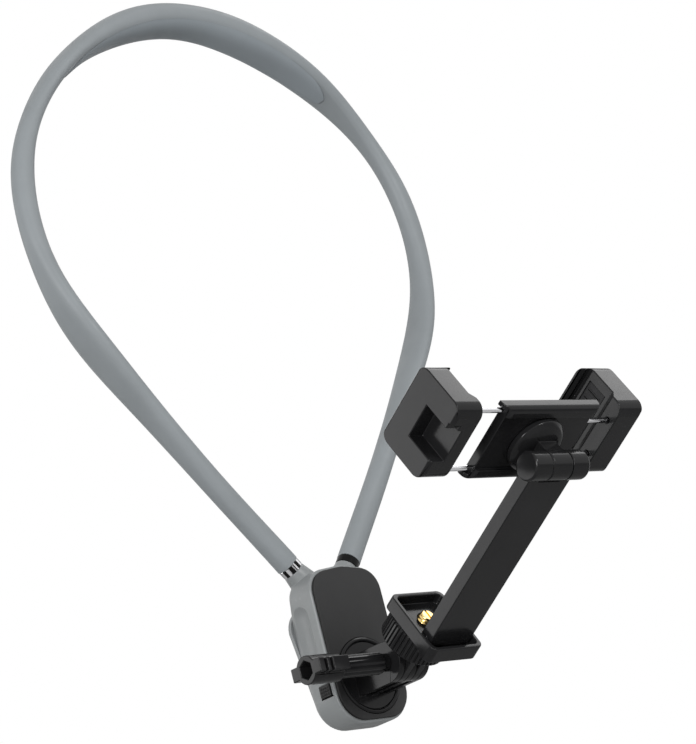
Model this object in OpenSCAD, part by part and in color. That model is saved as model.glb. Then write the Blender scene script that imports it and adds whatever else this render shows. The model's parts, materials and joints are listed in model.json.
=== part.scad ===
// Neck worn phone holder: a bendable neck loop, a chest housing with a turntable,
// a tilting three finger joint, a folding arm and a sprung two jaw phone clamp.
// Origin at the middle of the housing's rear face, +Z up, the wearer behind +Y.

/* [Neck loop] */
// Half width of the loop, to the middle of the band
loop_half = 97; // [88:1:106]
// Rise of the band's middle at the nape above the socket line
loop_rise = 235.8; // [215:0.2:255]
// Thickness of the band in the plane of the loop
band_w = 8.6; // [7.6:0.1:10]
// Depth of the band, front to back
band_d = 8.6; // [7.6:0.1:9.4]
// Depth of the soft pad let into the inner side at the nape
pad_t = 3.6; // [2.6:0.2:4.2]
// How far the pad stands out of the band
pad_proud = 0.4; // [0.2:0.1:0.8]
// Diameter of the bendable core
core_d = 3.6; // [3:0.1:4]
// Length of core held in each socket
core_tail = 9; // [7:0.5:10]
// Length of the trim ring at each end of the band
trim_len = 3.2; // [2.4:0.2:4]
// Lean of each band end from the vertical
root_tilt = 40; // [34:1:44]

/* [Housing] */
// Width of the rear shell
shell_w = 34.8; // [34.4:0.2:38]
// Height of the rear shell
shell_h = 60; // [59.6:0.2:64]
// Front to back depth of the rear shell
shell_d = 15.4; // [15:0.1:17]
// Corner radius of the rear shell
shell_r = 11.4; // [10:0.2:13]
// Rounding of the shell's rear edge
shell_edge = 5; // [3:0.5:6]
// Thickness of the front panel
panel_t = 1.2; // [1:0.1:1.6]
// Margin of shell seen round the front panel
panel_margin = 0.9; // [0.6:0.1:1.4]
// Thickness of the soft chest pad
chest_t = 2.6; // [2:0.1:3.2]
// Height of the chest pad
chest_h = 46; // [40:1:50]
// Length of the socket that holds each band end
socket_len = 8; // [6:0.5:9]

/* [Turntable and buttons] */
// Outer radius of the bezel ring
bezel_r = 14.4; // [13.8:0.1:14.6]
// Radius of the turntable
table_r = 12.7; // [12:0.1:12.9]
// Thickness of the turntable's plate
table_t = 2.4; // [2:0.1:2.8]
// Radius of the turntable's hub
hub_r = 7; // [6:0.1:7.4]
// Depth of the hub below the plate
hub_len = 8; // [7.6:0.1:9]
// Depth of the latch groove in the hub
groove_d = 1.2; // [1:0.1:1.4]
// Width of a release button, front to back
button_w = 5.8; // [5:0.1:6.4]
// Height of a release button
button_h = 4.6; // [4:0.1:6]
// Travel of a release button
button_travel = 1.2; // [1:0.1:1.3]
// Thickness of a latch plate
latch_t = 1.6; // [1.4:0.1:1.8]

/* [Tilt joint] */
// Distance from the turntable's face to the tilt axis
tilt_reach = 17.2; // [16:0.1:20]
// Thickness of each finger's slot pitch
finger_pitch = 3; // [2.8:0.1:3.2]
// Width of the fingers and radius twice their round ends
finger_w = 15; // [14:0.2:16]
// Diameter of the thumbscrew's shaft
screw_d = 5; // [4:0.1:5.2]
// Upward slope of the arm's chain from straight ahead
tilt_rest = 28.9; // [20:0.1:35]
// Diameter of the thumbscrew's barrel
barrel_d = 7.8; // [7.4:0.1:9]
// Length of the thumbscrew's barrel
barrel_len = 19.3; // [16:0.1:22]
// Length of the thumbscrew's head
knob_len = 17; // [14:0.5:19]
// Thickness of the thumbscrew's head across its flats
knob_d = 10.4; // [10:0.1:12]
// Reach of the head's two wings from the axis
wing_reach = 8; // [7:0.1:9]

/* [Stud and lock wheel] */
// Diameter of the tripod stud
stud_d = 6.35; // [6:0.05:6.4]
// Radius of the knurled lock wheel
wheel_r = 11; // [10:0.1:12]
// Height of the knurled lock wheel
wheel_h = 9.1; // [8:0.1:9.6]
// Number of ridges round the lock wheel
wheel_ridges = 44; // [30:1:50]
// Depth of the grooves between the ridges
ridge_d = 0.7; // [0.4:0.05:0.9]

/* [Tray and arm] */
// Width of the hinge tray
tray_w = 25; // [24.6:0.2:28]
// Length of the hinge tray
tray_l = 29; // [28:0.2:31]
// Height of the hinge tray
tray_h = 6.3; // [6:0.1:7.4]
// Wall of the hinge tray
tray_wall = 1.7; // [1.5:0.1:2]
// Floor of the hinge tray
tray_floor = 1.7; // [1.5:0.1:1.9]
// Setback of the arm from the stud's axis
arm_set = 11.2; // [10.6:0.1:11.6]
// Width of the arm
arm_w = 20.2; // [18:0.2:20.4]
// Thickness of the arm
arm_t = 5.6; // [4.8:0.1:5.8]
// Distance from the tilt axis to the top hinge
arm_reach = 104.2; // [96:0.2:112]
// Radius of the top hinge's barrel
barrel_r = 5.25; // [4.8:0.05:5.4]
// Length of the top hinge's barrel
barrel_l = 26.4; // [24:0.2:28]
// Length of the middle knuckle
knuckle_l = 10.2; // [8:0.2:11]
// Diameter of the hinge pins
pin_d = 2.4; // [2:0.1:2.6]

/* [Clamp] */
// Width of the clamp's body
body_w = 47.8; // [44:0.2:50]
// Height of the clamp's body and jaws
body_h = 32; // [30:0.2:34]
// Thickness of the clamp's body
body_t = 4.9; // [4.7:0.1:5.6]
// Distance from the top hinge's axis to the body's rear
body_set = 10.85; // [10.4:0.05:12]
// Radius of the swivel disc
disc_r = 12; // [10:0.2:13]
// Diameter of the chrome rods
rod_d = 2; // [1.6:0.1:2]
// Gap held between the jaws, the width of the phone they are made for
phone_gap = 71.2; // [66:0.2:76]
// Overall width across the jaws
jaw_span = 91.2; // [88:0.2:98]
// Front to back depth of the jaws
jaw_depth = 24.8; // [23:0.2:27]
// Corner radius of the jaws
jaw_r = 4.5; // [3:0.1:6]
// Height of the finger window in each jaw
window_h = 13.3; // [11:0.1:15]

/* [Hidden] */
// Running clearance of pins and shafts
run_fit = 0.05;
// Clearance between neighbouring pieces
gap_fit = 0.3;
// Clearance of a seated piece in its own body
seat_fit = 0.1;
// Overrun of every cut
cut = 1;
// Facets of round exact shapes
$fn = 48;
// Facets inside hulls
soft_fn = 32;

// Neck loop, its line as shares of the half width and the rise
loop_shares = [[0.263, 0.089], [0.366, 0.14], [0.52, 0.225], [0.67, 0.31], [0.793, 0.378],
    [0.9, 0.447], [0.968, 0.517], [1, 0.606], [0.975, 0.695], [0.908, 0.755], [0.82, 0.816],
    [0.7, 0.871], [0.577, 0.912], [0.42, 0.95], [0.237, 0.982]];
// Swelling of the band at the same points
swell_shares = [1, 1, 1, 1.02, 1.18, 1.28, 1.12, 1, 1, 1.04, 1.14, 1.3, 1.44, 1.52, 1.54];
// Depth of the seat that the nape pad sits on, at the same points
flat_min = 12;
seat_shares = [0, 0, 0, 0, 0, 0, 0, 0, 0, 0, 0.25, 0.9, 1, 1, 1];
// Place of the loop's plane and its socket line
loop_back = 12;
socket_z = 26.8;
root_x = 15.3;
root_rise = 7.5;
band_sides = 16;
bore_sides = 8;
per_span = 2;

// Housing places, front is -Y
chest_front = -chest_t;
shell_front = -chest_t - shell_d;
panel_front = shell_front - panel_t;
loop_y = panel_front + loop_back;
shell_top = shell_h / 2;
chest_top = 17.5;
chest_r = 9;
table_z = -12.9;
bezel_lip = 0.6;
bezel_wall = 1.5;
well_d = 1.6;
well_r = bezel_r + seat_fit;
socket_r = band_w / 2;
socket_root = 1.35;
root_dir = [sin(root_tilt), 0, cos(root_tilt)];
root_pos = [root_x, loop_y, socket_z + root_rise];

// Turntable and latch
hub_front = shell_front + well_d;
groove_front = 0.9;
groove_len = 2 * latch_t + 3 * gap_fit;
hole_r = hub_r + gap_fit;
latch_rim = 1.4;
latch_w = 2 * (hole_r + latch_rim);
latch_out = shell_w / 2 - 4;
latch_end = 2.2;
button_drop = 3;
button_y = -13.2;
button_proud = 0.6;
slot_end = latch_out + seat_fit * 4;
cap_in = latch_out - 0.6 * latch_t;
spring_d = 2.4;
spring_wire = 0.5;

// Tilt joint
pivot = [0, panel_front - tilt_reach - bezel_lip, table_z];
finger_r = finger_w / 2;
finger_t = finger_pitch - 2 * seat_fit;
screw_r = screw_d / 2;
nut_t = 4;
nut_flats = 8;
collar_r = 3.3;
collar_len = 3.2;
finger_out = 2.5 * finger_pitch;
barrel_grooves = 10;
barrel_cut = 0.55;
socket_flats = 6;
socket_depth = 7;
wing_t = 3.4;
knob_slot = 1.3;

// Chain along the arm, in a frame whose z runs up the arm
adapter_gap = 0.4;
adapter_top = finger_r + adapter_gap + 0.9;
adapter_boss = 7.4;
wheel_base = adapter_top + seat_fit;
tray_base = wheel_base + wheel_h + gap_fit;
stud_show = 2.4;
stud_top = tray_base + tray_floor + stud_show;
tray_rear = 18.85;
tray_r = 2.6;
tray_lip = 0.5;
foot_z = tray_base + 4.4;
foot_pit = 0.9;
knuckle_gap = 0.2;
shoulder_h = 6.4;
top_pin_len = barrel_l - 2.4;
body_back = -arm_set - 0.6 + body_set;
body_front = body_back + body_t;
top_y = -arm_set - 0.6;
disc_t = 1.5;
disc_step = 2.5;
disc_step_t = 1.3;
post_r = 3;
post_head_r = 4.2;
post_head_t = 1;
stem_w = 8.4;
stem_h = 9;
body_r = 4.4;
side_cut = 2.4;
side_cut_h = 28.4;
rod_off = 3.3;
left_rods = 12.9;
right_rods = 7.7;
rod_reach = 8;
rod_root = 3;
phone_pad_t = 1.2;
phone_pad_w = 36;
phone_pad_h = 24;

// Jaws
jaw_in = phone_gap / 2;
jaw_out = jaw_span / 2;
jaw_heel = 1.9;
heel_front = 6.3;
heel_chamfer = 2.4;
lip_t = 2.8;
lip_reach = 3.2;
plate_t = 1.6;
window_top = 13.6;
pocket_wall = 1.2;
notch_in = 4.3;
jaw_bevel = 1;
jaw_pad_t = 0.8;
jaw_pad_w = 9;
jaw_pad_h = 24;
window_off = -0.2;

// Line of the loop from the left socket over the nape to the right one
function scaled(s) = [s[0] * loop_half, s[1] * loop_rise];
root_pt = [root_x, root_rise];
branch_pts = concat([root_pt], [for (s = loop_shares) scaled(s)]);
branch_swell = concat([1], swell_shares);
branch_seat = concat([0], seat_shares);
last = len(branch_pts) - 1;
loop_pts = concat([for (p = branch_pts) [-p[0], p[1]]], [[0, loop_rise]],
    [for (i = [0:last]) branch_pts[last - i]]);
loop_swell = concat(branch_swell, [branch_swell[last]], [for (i = [0:last]) branch_swell[last - i]]);
loop_seat = concat(branch_seat, [1], [for (i = [0:last]) branch_seat[last - i]]);
spans = len(loop_pts) - 1;

// Smooth curve through listed values
function at(v, i) = i < 0 ? 2 * v[0] - v[1]
    : (i > len(v) - 1 ? 2 * v[len(v) - 1] - v[len(v) - 2] : v[i]);
function curve(a, b, c, d, t) = 0.5 * (2 * b + (c - a) * t + (2 * a - 5 * b + 4 * c - d) * t * t
    + (3 * b - a - 3 * c + d) * t * t * t);
function along(v, i, t) = curve(at(v, i - 1), at(v, i), at(v, i + 1), at(v, i + 2), t);
function blend(v, i, t) = v[i] + (v[min(i + 1, len(v) - 1)] - v[i]) * t;
steps = spans * per_span;
function place(k) = let (i = min(floor(k / per_span), spans - 1)) [i, k / per_span - i];
line = [for (k = [0:steps]) let (p = place(k)) along(loop_pts, p[0], p[1])];
swell = [for (k = [0:steps]) let (p = place(k)) blend(loop_swell, p[0], p[1])];
flats = [for (k = [0:steps]) let (p = place(k))
    max(flat_min, acos(1 - 2 * pad_t * blend(loop_seat, p[0], p[1]) / (band_w * swell[k])))];
root_end = [sin(root_tilt), cos(root_tilt)];
function run_dir(k) = k == 0 ? [-root_end[0], root_end[1]]
    : (k == steps ? [-root_end[0], -root_end[1]] : line[k + 1] - line[k - 1]);
function unit(v) = v / norm(v);
function inward(k) = let (d = unit(run_dir(k))) [d[1], -d[0]];

// A ring of points across the band: n runs to the inside of the loop
function ring(k, sec) = let (n = inward(k), c = line[k])
    [for (p = sec) [c[0] + n[0] * p[0], loop_y + p[1], socket_z + c[1] + n[1] * p[0]]];
function sleeve_sec(k) = let (w = band_w * swell[k] / 2, d = band_d * swell[k] / 2, f = flats[k])
    [for (j = [0:band_sides - 1]) let (a = f + (360 - 2 * f) * j / (band_sides - 1))
        [w * cos(a), d * sin(a)]];
function bore_sec(r) = [for (j = [0:bore_sides - 1]) let (a = 360 * (j + 0.5) / bore_sides)
    [r * cos(a), r * sin(a)]];
pad_sides = 9;
function pad_sec(k) = let (w = band_w * swell[k] / 2, d = band_d * swell[k] / 2, f = flats[k],
        base = w * cos(f) + seat_fit / 2)
    [for (j = [0:pad_sides]) let (a = -f + 2 * f * j / pad_sides)
        [max(base, w * cos(a) + pad_proud * (1 - pow(abs(a) / f, 4))), d * sin(a) * 0.985]];

// Faces of a swept body from rings of equal counts
function skin(n, rings) = [for (i = [0:rings - 2]) for (j = [0:n - 1])
    let (a = i * n + j, b = i * n + (j + 1) % n)
    each [[a, b, b + n], [a, b + n, a + n]]];
function flip(faces) = [for (f = faces) [f[2], f[1], f[0]]];
function fan(n, start) = [for (j = [1:n - 2]) [start, start + j + 1, start + j]];
function add(faces, s) = [for (f = faces) [f[0] + s, f[1] + s, f[2] + s]];

module solid_sweep(secs) {
    n = len(secs[0]);
    m = len(secs);
    pts = [for (s = secs) each s];
    faces = concat(skin(n, m), fan(n, 0), flip(fan(n, (m - 1) * n)));
    polyhedron(points = pts, faces = flip(faces), convexity = 8);
}

// End of a hollow sweep: outer rings have twice as many points as inner ones
function washer(o, i) = [for (j = [0:bore_sides - 1])
    let (a = o + 2 * j, b = o + 2 * j + 1, c = o + (2 * j + 2) % band_sides,
        p = i + j, q = i + (j + 1) % bore_sides)
    each [[a, b, p], [b, q, p], [b, c, q]]];

module hollow_sweep(outer, inner) {
    m = len(outer);
    far = m * band_sides;
    pts = concat([for (s = outer) each s], [for (s = inner) each s]);
    faces = concat(skin(band_sides, m), flip(add(skin(bore_sides, m), far)),
        flip(washer(0, far)), washer((m - 1) * band_sides, far + (m - 1) * bore_sides));
    polyhedron(points = pts, faces = flip(faces), convexity = 8);
}

module band_sleeve() {
    color([0.55, 0.57, 0.57]) hollow_sweep([for (k = [0:steps]) ring(k, sleeve_sec(k))],
        [for (k = [0:steps]) ring(k, bore_sec(core_d / 2 + core_fit_r))]);
}

core_fit_r = 0.15;
module core_line(r, tail) {
    a = [line[0][0] - root_end[0] * tail, line[0][1] - root_end[1] * tail];
    pre = [for (p = bore_sec(r)) [-root_pos[0] + root_dir[0] * tail + cos(root_tilt) * p[0],
        loop_y + p[1], root_pos[2] - root_dir[2] * tail + sin(root_tilt) * p[0]]];
    post = [for (p = pre) [-p[0], p[1], p[2]]];
    solid_sweep(concat([pre], [for (k = [0:steps]) ring(k, bore_sec(r))],
        [[for (j = [0:bore_sides - 1]) post[j]]]));
}

module band_core() {
    color([0.6, 0.6, 0.62]) core_line(core_d / 2, core_tail);
}

pad_from = 11 * per_span;
module neck_pad() {
    color([0.5, 0.53, 0.53])
        solid_sweep([for (k = [pad_from:steps - pad_from]) ring(k, pad_sec(k))]);
}

// Places a shape along the right band end, pointing out of the socket
module at_root() {
    translate(root_pos) rotate([0, root_tilt, 0]) children();
}

module trim_ring() {
    at_root() difference() {
        translate([0, 0, -trim_len]) cylinder(h = trim_len - seat_fit, r = socket_r + seat_fit);
        translate([0, 0, -trim_len - cut]) cylinder(h = trim_len + 2 * cut, r = core_d / 2 + core_fit_r);
    }
}

module left_trim_ring() {
    color([0.85, 0.85, 0.87]) mirror([1, 0, 0]) trim_ring();
}

module right_trim_ring() {
    color([0.1, 0.1, 0.1]) trim_ring();
}

// Outline of the housing, shrunk by a margin
module housing_outline(margin) {
    w = shell_w / 2 - margin;
    h = shell_top - margin;
    r = shell_r - margin;
    rt = r * top_round_share;
    hull() {
        for (s = [-1, 1]) {
            translate([s * (w - r), -h + r]) circle(r = r, $fn = soft_fn);
            translate([s * (w - rt), h - rt - crown]) circle(r = rt, $fn = soft_fn);
        }
        translate([0, h - crown_r]) circle(r = crown_r, $fn = soft_fn);
    }
}

top_round_share = 0.8;
crown = 1;
crown_r = 16;

// Stands a flat shape up so that it runs from y0 towards the front by t
module slab(y0, t) {
    translate([0, y0, 0]) rotate([90, 0, 0]) linear_extrude(height = t) children();
}

edge_steps = 5;
slice = 0.2;
module shell_block() {
    hull() {
        slab(shell_front + slice, slice) housing_outline(front_bevel);
        slab(shell_front + front_bevel + slice, slice) housing_outline(0);
        for (i = [0:edge_steps - 1]) {
            a = 90 * i / edge_steps;
            slab(chest_front - shell_edge * (1 - sin(a)), slice)
                housing_outline(shell_edge * (1 - cos(a)));
        }
        slab(chest_front, slice) housing_outline(shell_edge * 0.9);
    }
}

front_bevel = 0.5;
module rear_shell() {
    color([0.66, 0.68, 0.68]) difference() {
        union() {
            shell_block();
            for (m = [0, 1]) mirror([m, 0, 0]) at_root()
                translate([0, 0, -trim_len - socket_len])
                cylinder(h = socket_len, r1 = socket_r * socket_root, r2 = socket_r);
        }
        for (m = [0, 1]) mirror([m, 0, 0]) at_root()
            translate([0, 0, -core_tail - seat_fit])
            cylinder(h = core_tail + cut, r = core_d / 2 + core_fit_r);
        translate([0, shell_front - cut, table_z]) rotate([-90, 0, 0])
            cylinder(h = well_d + cut, r = well_r);
        translate([0, shell_front - cut, table_z]) rotate([-90, 0, 0])
            cylinder(h = well_d + hub_len + gap_fit + cut, r = hub_r + gap_fit);
        translate([-slot_end, latch_y(-1) - latch_t - seat_fit, table_z - latch_w / 2 - seat_fit])
            cube([2 * slot_end, 2 * latch_t + gap_fit + 2 * seat_fit, latch_w + 2 * seat_fit]);
        for (m = [0, 1]) mirror([m, 0, 0]) translate([cap_in - button_travel - seat_fit,
            button_y - button_w / 2 - seat_fit, table_z - button_drop - button_h / 2 - seat_fit])
            cube([shell_w / 2, button_w + 2 * seat_fit, button_h + 2 * seat_fit]);
    }
}

// Rear faces of the two latch plates, side -1 in front
function latch_y(s) = panel_front + table_t + groove_front + gap_fit + latch_t
    + (s > 0 ? latch_t + gap_fit : 0);

module front_panel() {
    color([0.2, 0.2, 0.2]) difference() {
        slab(shell_front, panel_t) housing_outline(panel_margin);
        translate([0, shell_front + cut, table_z]) rotate([90, 0, 0])
            cylinder(h = panel_t + 2 * cut, r = well_r);
    }
}

module chest_outline(margin) {
    w = shell_w / 2 - margin;
    hull() for (s = [-1, 1]) for (z = [chest_top, chest_top - chest_h])
        translate([s * (w - chest_r), z == chest_top ? z - chest_r - margin : z + chest_r + margin])
        circle(r = chest_r, $fn = soft_fn);
}

module chest_pad() {
    color([0.62, 0.64, 0.64]) slab(0, chest_t) chest_outline(0);
}

module bezel_ring() {
    color([0.16, 0.16, 0.16]) translate([0, 0, table_z]) rotate([90, 0, 0]) {
        translate([0, 0, -hub_front]) rotate_extrude() polygon([
            [bezel_r - bezel_wall, 0],
            [bezel_r, 0],
            [bezel_r, well_d + panel_t + bezel_lip * 0.4],
            [bezel_r - bezel_wall * 0.35, well_d + panel_t + bezel_lip],
            [bezel_r - bezel_wall * 0.65, well_d + panel_t + bezel_lip],
            [bezel_r - bezel_wall, well_d + panel_t + bezel_lip * 0.4]]);
    }
}

// One release button with its latch plate; side -1 is the left
module release_button(s) {
    shift = s * button_travel;
    yb = latch_y(s);
    translate([0, yb - latch_t, table_z]) difference() {
        union() {
            translate([s > 0 ? -hole_r - latch_end + shift : -latch_out, 0, -latch_w / 2])
                cube([latch_out + hole_r + latch_end - button_travel, latch_t, latch_w]);
            translate([s > 0 ? cap_in : -shell_w / 2 - button_proud,
                button_y - yb + latch_t - button_w / 2, -button_drop - button_h / 2])
                cube([shell_w / 2 + button_proud - cap_in, button_w, button_h]);
        }
        translate([shift, -cut, 0]) rotate([-90, 0, 0]) cylinder(h = latch_t + 2 * cut, r = hole_r);
    }
}

module left_button() {
    color([0.12, 0.12, 0.12]) release_button(-1);
}

module right_button() {
    color([0.12, 0.12, 0.12]) release_button(1);
}

module button_springs() {
    color([0.7, 0.7, 0.72]) for (s = [-1, 1])
        translate([-s * (slot_end - spring_len / 2), latch_y(s) - latch_t / 2, table_z + spring_up])
        rotate([0, 90, 0]) difference() {
            cylinder(h = spring_len, d = latch_t, center = true);
            cylinder(h = spring_len + cut, d = latch_t - spring_wire, center = true);
        }
}

spring_len = slot_end - hole_r - latch_end - gap_fit;
spring_up = hole_r / 2;

module finger(x) {
    difference() {
        translate([x - finger_t / 2, 0, 0]) rotate([90, 0, 90]) linear_extrude(height = finger_t)
            union() {
                circle(r = finger_r);
                translate([0, -finger_r]) square([tilt_reach + bezel_lip, finger_w]);
            }
        translate([x - finger_t, 0, 0]) rotate([0, 90, 0])
            cylinder(h = 2 * finger_t, r = screw_r + run_fit);
    }
}

module turntable() {
    color([0.15, 0.15, 0.15]) {
        translate([0, panel_front, table_z]) rotate([-90, 0, 0]) difference() {
            rotate_extrude() polygon([[0, -0.01 * table_t], [table_r, -0.01 * table_t],
                [table_r, table_t], [hub_r, table_t],
                [hub_r, table_t + groove_front], [0, table_t + groove_front]]);
        }
        translate(pivot) for (x = [-2, 0, 2]) finger(x * finger_pitch);
    }
}

// Spigot of the turntable, with the groove that the latch plates enter
module turntable_hub() {
    color([0.15, 0.15, 0.15]) translate([0, panel_front + table_t + groove_front, table_z])
        rotate([-90, 0, 0]) rotate_extrude() polygon([
            [0, 0], [hub_r - groove_d, 0],
            [hub_r - groove_d, groove_len],
            [hub_r, groove_len],
            [hub_r, hub_len - groove_front - groove_d],
            [hub_r - groove_d, hub_len - groove_front], [0, hub_len - groove_front]]);
}

module hex_nut() {
    color([0.8, 0.8, 0.82]) translate([finger_out, pivot[1], pivot[2]]) rotate([0, 90, 0])
        difference() {
            cylinder(h = nut_t, d = nut_flats / cos(30), $fn = 6);
            translate([0, 0, -cut]) cylinder(h = nut_t + 2 * cut, r = screw_r + run_fit);
        }
}

knob_in = -finger_out - seat_fit;
module screw_shaft() {
    color([0.75, 0.75, 0.77]) translate(pivot) {
        translate([-finger_out - collar_len - barrel_len * 0.6, 0, 0]) rotate([0, 90, 0])
            cylinder(h = 2 * finger_out + collar_len + barrel_len * 0.6 + nut_t, r = screw_r);
    }
}

module thumbscrew_knob() {
    color([0.1, 0.1, 0.1]) translate([knob_in, pivot[1], pivot[2]]) rotate([0, -90, 0])
        difference() {
            union() {
                cylinder(h = collar_len, r = collar_r);
                translate([0, 0, collar_len]) difference() {
                    cylinder(h = barrel_len, r = barrel_d / 2);
                    for (i = [0:barrel_grooves - 1]) rotate([0, 0, 360 * i / barrel_grooves])
                        translate([barrel_d / 2 + barrel_cut * 0.3, 0, -cut])
                        cylinder(h = barrel_len + 2 * cut, r = barrel_cut * 1.3);
                }
                translate([0, 0, collar_len + barrel_len]) {
                    cylinder(h = knob_len, r = knob_d / 2);
                    translate([-wing_reach, -wing_t / 2, 0]) cube([2 * wing_reach, wing_t, knob_len]);
                }
            }
            translate([0, 0, -cut]) cylinder(h = collar_len + barrel_len * 0.6 + cut + seat_fit,
                r = screw_r + run_fit);
            translate([0, 0, collar_len + barrel_len + knob_len - socket_depth])
                cylinder(h = socket_depth + cut, d = socket_flats / cos(30), $fn = 6);
        }
}

// Frame of the chain: origin on the tilt axis, z up the arm, y to the screen side
module chain() {
    translate(pivot) rotate([90 - tilt_rest, 0, 0]) children();
}

module tilt_adapter() {
    color([0.14, 0.14, 0.14]) chain() difference() {
        union() {
            for (s = [-1, 1]) translate([s * finger_pitch - finger_t / 2, 0, 0])
                rotate([90, 0, 90]) linear_extrude(height = finger_t) union() {
                    circle(r = finger_r);
                    translate([-finger_r, 0]) square([finger_w, finger_r + adapter_gap * 2]);
                }
            translate([0, 0, finger_r + adapter_gap])
                cylinder(h = adapter_top - finger_r - adapter_gap, r = adapter_boss);
        }
        translate([-finger_out, 0, 0]) rotate([0, 90, 0])
            cylinder(h = 2 * finger_out, r = screw_r + run_fit);
        translate([0, 0, finger_r + adapter_gap]) cylinder(h = adapter_top, r = stud_d / 2 + run_fit);
    }
}

module tripod_stud() {
    color([0.8, 0.62, 0.3]) chain() translate([0, 0, finger_r + adapter_gap + seat_fit])
        cylinder(h = stud_top - finger_r - adapter_gap - seat_fit, r = stud_d / 2);
}

module lock_wheel() {
    color([0.13, 0.13, 0.13]) chain() translate([0, 0, wheel_base]) difference() {
        linear_extrude(height = wheel_h) polygon([for (i = [0:wheel_ridges - 1])
            for (q = [[0, 1], [0.5, 1], [0.62, 0], [0.88, 0]])
            let (a = 360 * (i + q[0]) / wheel_ridges, r = wheel_r - ridge_d * (1 - q[1]))
            [r * cos(a), r * sin(a)]]);
        translate([0, 0, -cut]) cylinder(h = wheel_h + 2 * cut, r = stud_d / 2 + run_fit);
    }
}

module round_rect(w, h, r) {
    union() {
        square([w - 2 * r, h], center = true);
        square([w, h - 2 * r], center = true);
        for (x = [-1, 1]) for (y = [-1, 1]) translate([x * (w / 2 - r), y * (h / 2 - r)]) circle(r = r);
    }
}

module hinge_tray() {
    color([0.17, 0.17, 0.17]) chain() translate([0, tray_l / 2 - tray_rear, tray_base]) difference() {
        linear_extrude(height = tray_h) round_rect(tray_w, tray_l, tray_r);
        translate([0, 0, tray_floor]) linear_extrude(height = tray_h)
            round_rect(tray_w - 2 * tray_wall, tray_l - 2 * tray_wall, tray_r - tray_wall / 2);
        translate([0, tray_rear - tray_l / 2, -cut]) cylinder(h = tray_h, r = stud_d / 2 + run_fit);
        translate([0, tray_rear - tray_l / 2 - arm_set, foot_z - tray_base]) rotate([0, 90, 0])
            cylinder(h = tray_w + cut, r = pin_d / 2 + run_fit, center = true);
        translate([0, tray_rear - tray_l / 2 - arm_set, foot_z - tray_base]) rotate([0, 90, 0])
            cylinder(h = arm_w + 2 * gap_fit, r = arm_t / 2 + gap_fit, center = true);
    }
}

module arm_pin() {
    color([0.7, 0.7, 0.72]) chain() translate([0, -arm_set, foot_z]) rotate([0, 90, 0])
        cylinder(h = tray_w - 2 * seat_fit, r = pin_d / 2, center = true);
}

module arm() {
    color([0.18, 0.18, 0.18]) chain() difference() {
        union() {
            translate([0, -arm_set, foot_z]) rotate([0, 90, 0])
                cylinder(h = arm_w, r = arm_t / 2, center = true);
            translate([-arm_w / 2, -arm_set - arm_t / 2, foot_z])
                cube([arm_w, arm_t, arm_reach - foot_z - barrel_r]);
            translate([0, top_y, arm_reach]) rotate([0, 90, 0])
                cylinder(h = barrel_l, r = barrel_r, center = true);
            translate([-barrel_l / 2, -arm_set - arm_t / 2, arm_reach - barrel_r - shoulder_h])
                cube([barrel_l, arm_t, barrel_r + shoulder_h]);
        }
        translate([-knuckle_l / 2, top_y - 2 * barrel_r, arm_reach - barrel_r - gap_fit])
            cube([knuckle_l, 4 * barrel_r, 3 * barrel_r]);
        translate([0, -arm_set, foot_z]) rotate([0, 90, 0])
            cylinder(h = arm_w + 2 * cut, r = pin_d / 2 + run_fit, center = true);
        translate([0, top_y, arm_reach]) rotate([0, 90, 0])
            cylinder(h = top_pin_len, r = pin_d / 2 + run_fit, center = true);
    }
}

module top_pin() {
    color([0.7, 0.7, 0.72]) chain() translate([0, top_y, arm_reach]) rotate([0, 90, 0])
        cylinder(h = top_pin_len - 2 * seat_fit, r = pin_d / 2, center = true);
}

module swivel_neck() {
    disc_front = body_back - gap_fit;
    color([0.12, 0.12, 0.12]) chain() translate([0, 0, arm_reach]) difference() {
        union() {
            translate([0, top_y, 0]) rotate([0, 90, 0])
                cylinder(h = knuckle_l - 2 * knuckle_gap, r = barrel_r - knuckle_gap, center = true);
            translate([-stem_w / 2, top_y, -stem_h / 2])
                cube([stem_w, disc_front - disc_t - top_y, stem_h]);
            translate([0, disc_front, 0]) rotate([90, 0, 0]) {
                cylinder(h = disc_t, r = disc_r);
                cylinder(h = disc_t + disc_step_t, r = disc_r - disc_step);
            }
        }
        translate([0, top_y, 0]) rotate([0, 90, 0])
            cylinder(h = knuckle_l + cut, r = pin_d / 2 + run_fit, center = true);
        translate([0, disc_front + cut, 0]) rotate([90, 0, 0])
            cylinder(h = disc_t + disc_step_t + cut, r = post_r + run_fit);
    }
}

post_gap = 0.6;
module swivel_post() {
    disc_front = body_back - gap_fit;
    color([0.7, 0.7, 0.72]) chain() translate([0, 0, arm_reach]) rotate([-90, 0, 0]) {
        translate([0, 0, disc_front - disc_t - disc_step_t + seat_fit])
            cylinder(h = body_front - post_head_t - post_gap - disc_front + disc_t + disc_step_t, r = post_r);
        translate([0, 0, body_front - post_head_t - post_gap]) cylinder(h = post_head_t, r = post_head_r);
    }
}

// Cross section of the clamp's body, rear corners rounded
module body_section(w, t, r) {
    union() {
        translate([-w / 2 + r, 0]) square([w - 2 * r, t]);
        translate([-w / 2, r]) square([w, t - r]);
        for (s = [-1, 1]) translate([s * (w / 2 - r), r]) circle(r = r);
    }
}

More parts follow.
